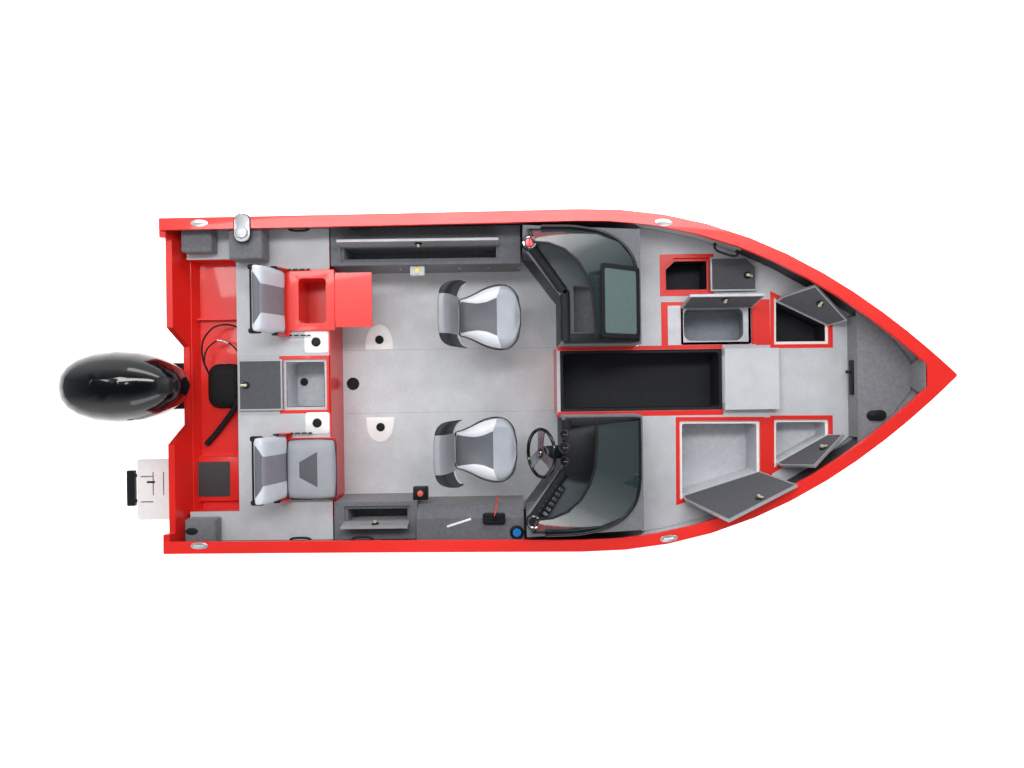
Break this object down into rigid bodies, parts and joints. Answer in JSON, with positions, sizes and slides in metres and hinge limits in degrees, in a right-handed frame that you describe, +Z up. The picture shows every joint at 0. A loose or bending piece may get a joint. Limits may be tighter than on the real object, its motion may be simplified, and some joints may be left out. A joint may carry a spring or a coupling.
{
  "type": "aluminium fishing boat",
  "caption": "Open aluminium fishing boat afloat, with twin consoles and windshields, lidded bow and stern decks, pedestal seats and a tilting, steering outboard motor.",
  "frame": {"origin": "on the waterline, on the centreline, at the middle of the hull's length", "axes": "+X to the bow, +Y to port, +Z up"},
  "size_m": [6.115, 2.408, 1.787],
  "materials": {
    "hull_paint": "gloss red paint over aluminium plate, bare aluminium below the chine",
    "red_paint": "gloss red paint",
    "deck_vinyl": "woven light grey vinyl bonded to aluminium plate",
    "grey_carpet": "dark grey marine carpet bonded to aluminium plate",
    "liner_plastic": "rotomoulded grey plastic",
    "black_plastic": "satin black moulding",
    "gloss_black": "gloss black enamel",
    "seat_vinyl": "grained marine vinyl in two greys",
    "smoked_glass": "smoked glass",
    "bare_aluminium": "satin bare aluminium",
    "steel": "brushed",
    "black_enamel": "gloss black enamel over cast aluminium",
    "engine_metal": "bare castings, out of sight under the cowl"
  },
  "bodies": {
    "hull": {"hull_shell": "hull_paint", "gunwale_cap": "red_paint", "cockpit_floor": "deck_vinyl", "aft_deck": "deck_vinyl", "splash_well": "red_paint", "bow_deck": "deck_vinyl", "anchor_deck": "grey_carpet", "aft_livewell_tub": "liner_plastic", "bow_livewell_tub": "liner_plastic", "tray_hatch_tub": "liner_plastic", "rod_locker_tub": "grey_carpet", "bow_bin_port_tub": "liner_plastic", "bow_bin_stbd_aft_tub": "liner_plastic", "bow_bin_stbd_fwd_tub": "liner_plastic", "side_box_port": "grey_carpet", "side_box_stbd": "grey_carpet", "side_panel_stbd": "grey_carpet", "throttle_box": "black_plastic", "console_port": "grey_carpet", "console_stbd": "grey_carpet", "windshield_frame_port": "black_plastic", "windshield_frame_stbd": "black_plastic", "windshield_glass_port": "smoked_glass", "windshield_glass_stbd": "smoked_glass", "seat_pedestal_driver": "steel", "seat_pedestal_passenger": "steel", "jump_seat_box_port": "red_paint", "jump_seat_base_stbd": "red_paint", "jump_seat_cushion": "seat_vinyl", "transom_bracket": "black_enamel", "swim_platform": "bare_aluminium", "boarding_ladder": "bare_aluminium"},
    "motor_tilt": {"outboard_swivel": "black_enamel"},
    "motor_steer": {"outboard_leg": "black_enamel", "power_head": "engine_metal", "outboard_cowl": "gloss_black"},
    "propeller": {"propeller": "black_enamel"},
    "steering_wheel": {"steering_wheel": "black_plastic"},
    "driver_seat": {"seat_pan_driver": "seat_vinyl"},
    "driver_back": {"seat_back_driver": "seat_vinyl"},
    "passenger_seat": {"seat_pan_passenger": "seat_vinyl"},
    "passenger_back": {"seat_back_passenger": "seat_vinyl"},
    "jump_back_port": {"jump_seat_back_port": "seat_vinyl"},
    "jump_back_stbd": {"jump_seat_back_stbd": "seat_vinyl"},
    "jump_lid": {"jump_seat_lid": "red_paint"},
    "aft_livewell_lid": {"aft_livewell_lid": "grey_carpet"},
    "side_lid_port": {"side_box_lid_port": "grey_carpet"},
    "side_lid_stbd": {"side_box_lid_stbd": "grey_carpet"},
    "tray_lid": {"tray_hatch_lid": "grey_carpet"},
    "bow_livewell_lid": {"bow_livewell_lid": "grey_carpet"},
    "bin_lid_port": {"bow_bin_port_lid": "grey_carpet"},
    "bin_lid_stbd_aft": {"bow_bin_stbd_aft_lid": "grey_carpet"},
    "bin_lid_stbd_fwd": {"bow_bin_stbd_fwd_lid": "grey_carpet"},
    "rod_leaf_fwd": {"rod_locker_leaf_fwd": "deck_vinyl"},
    "rod_leaf_mid": {"rod_locker_leaf_mid": "deck_vinyl"},
    "rod_leaf_aft": {"rod_locker_leaf_aft": "deck_vinyl"},
    "gate": {"walk_through_gate": "black_plastic"}
  },
  "joints": [
    {"name": "motor_tilt", "type": "hinge", "parent": "hull", "child": "motor_tilt", "pos_m": [-2.785, 0, 0.5], "axis": [0, 1, 0], "range_deg": [-5, 55]},
    {"name": "motor_steer", "type": "hinge", "parent": "motor_tilt", "child": "motor_steer", "pos_m": [-2.9, 0, 0.3], "axis": [0, 0, 1], "range_deg": [-30, 30]},
    {"name": "propeller_turn", "type": "hinge", "parent": "motor_steer", "child": "propeller", "pos_m": [-3.17, 0, -0.47], "axis": [1, 0, 0], "continuous": true},
    {"name": "wheel_turn", "type": "hinge", "parent": "hull", "child": "steering_wheel", "pos_m": [-0.08, -0.5, 0.82], "axis": [-0.848, 0, 0.5299], "range_deg": [-720, 720]},
    {"name": "driver_swivel", "type": "hinge", "parent": "hull", "child": "driver_seat", "pos_m": [-0.53, -0.495, 0.4785], "axis": [0, 0, 1], "continuous": true},
    {"name": "driver_back_fold", "type": "hinge", "parent": "driver_seat", "child": "driver_back", "pos_m": [-0.73, -0.495, 0.685], "axis": [0, 1, 0], "range_deg": [0, 100]},
    {"name": "passenger_swivel", "type": "hinge", "parent": "hull", "child": "passenger_seat", "pos_m": [-0.49, 0.468, 0.4785], "axis": [0, 0, 1], "continuous": true},
    {"name": "passenger_back_fold", "type": "hinge", "parent": "passenger_seat", "child": "passenger_back", "pos_m": [-0.69, 0.468, 0.685], "axis": [0, 1, 0], "range_deg": [0, 100]},
    {"name": "jump_back_fold_port", "type": "hinge", "parent": "hull", "child": "jump_back_port", "pos_m": [-1.965, 0.6, 0.63], "axis": [0, 1, 0], "range_deg": [0, 100]},
    {"name": "jump_back_fold_stbd", "type": "hinge", "parent": "hull", "child": "jump_back_stbd", "pos_m": [-1.965, -0.6, 0.63], "axis": [0, 1, 0], "range_deg": [0, 100]},
    {"name": "jump_lid_hinge", "type": "hinge", "parent": "hull", "child": "jump_lid", "pos_m": [-1.569, 0.615, 0.5025], "axis": [0, -1, 0], "range_deg": [0, 180]},
    {"name": "aft_livewell_hinge", "type": "hinge", "parent": "hull", "child": "aft_livewell_lid", "pos_m": [-1.963, -0.0015, 0.4835], "axis": [0, 1, 0], "range_deg": [0, 180]},
    {"name": "side_lid_hinge_port", "type": "hinge", "parent": "hull", "child": "side_lid_port", "pos_m": [-0.94, 1.024, 0.5035], "axis": [1, 0, 0], "range_deg": [0, 96]},
    {"name": "side_lid_hinge_stbd", "type": "hinge", "parent": "hull", "child": "side_lid_stbd", "pos_m": [-1.28, -1.034, 0.5035], "axis": [-1, 0, 0], "range_deg": [0, 96]},
    {"name": "tray_lid_hinge", "type": "hinge", "parent": "hull", "child": "tray_lid", "pos_m": [1.193, 0.7665, 0.4835], "axis": [0, -1, 0], "range_deg": [0, 180]},
    {"name": "bow_livewell_hinge", "type": "hinge", "parent": "hull", "child": "bow_livewell_lid", "pos_m": [1.2375, 0.54, 0.4835], "axis": [1, 0, 0], "range_deg": [0, 101]},
    {"name": "bin_hinge_port", "type": "hinge", "parent": "hull", "child": "bin_lid_port", "pos_m": [1.86367, 0.49431, 0.4835], "axis": [0.8971, -0.4418, 0], "range_deg": [0, 118]},
    {"name": "bin_hinge_stbd_aft", "type": "hinge", "parent": "hull", "child": "bin_lid_stbd_aft", "pos_m": [1.24712, -0.79813, 0.4835], "axis": [-0.9564, -0.2921, 0], "range_deg": [0, 104]},
    {"name": "bin_hinge_stbd_fwd", "type": "hinge", "parent": "hull", "child": "bin_lid_stbd_fwd", "pos_m": [1.85107, -0.55236, 0.4835], "axis": [-0.8789, -0.477, 0], "range_deg": [0, 102]},
    {"name": "rod_leaf_hinge_fwd", "type": "hinge", "parent": "hull", "child": "rod_leaf_fwd", "pos_m": [1.276, -0.005, 0.4835], "axis": [0, -1, 0], "range_deg": [0, 180]},
    {"name": "rod_leaf_hinge_mid", "type": "hinge", "parent": "rod_leaf_fwd", "child": "rod_leaf_mid", "pos_m": [1.67267, -0.005, 0.5065], "axis": [0, -1, 0], "range_deg": [-180, 0]},
    {"name": "rod_leaf_hinge_aft", "type": "hinge", "parent": "rod_leaf_mid", "child": "rod_leaf_aft", "pos_m": [1.273, -0.005, 0.5295], "axis": [0, -1, 0], "range_deg": [0, 180]},
    {"name": "gate_hinge", "type": "hinge", "parent": "hull", "child": "gate", "pos_m": [0.45219, 0.268, 0.95683], "axis": [0.7709, 0, -0.6369], "range_deg": [0, 180]}
  ],
  "couplings": [
    {"joint": "wheel_turn", "follows": "motor_steer", "ratio": -24},
    {"joint": "rod_leaf_hinge_mid", "follows": "rod_leaf_hinge_fwd", "ratio": -1},
    {"joint": "rod_leaf_hinge_aft", "follows": "rod_leaf_hinge_fwd", "ratio": 1}
  ]
}
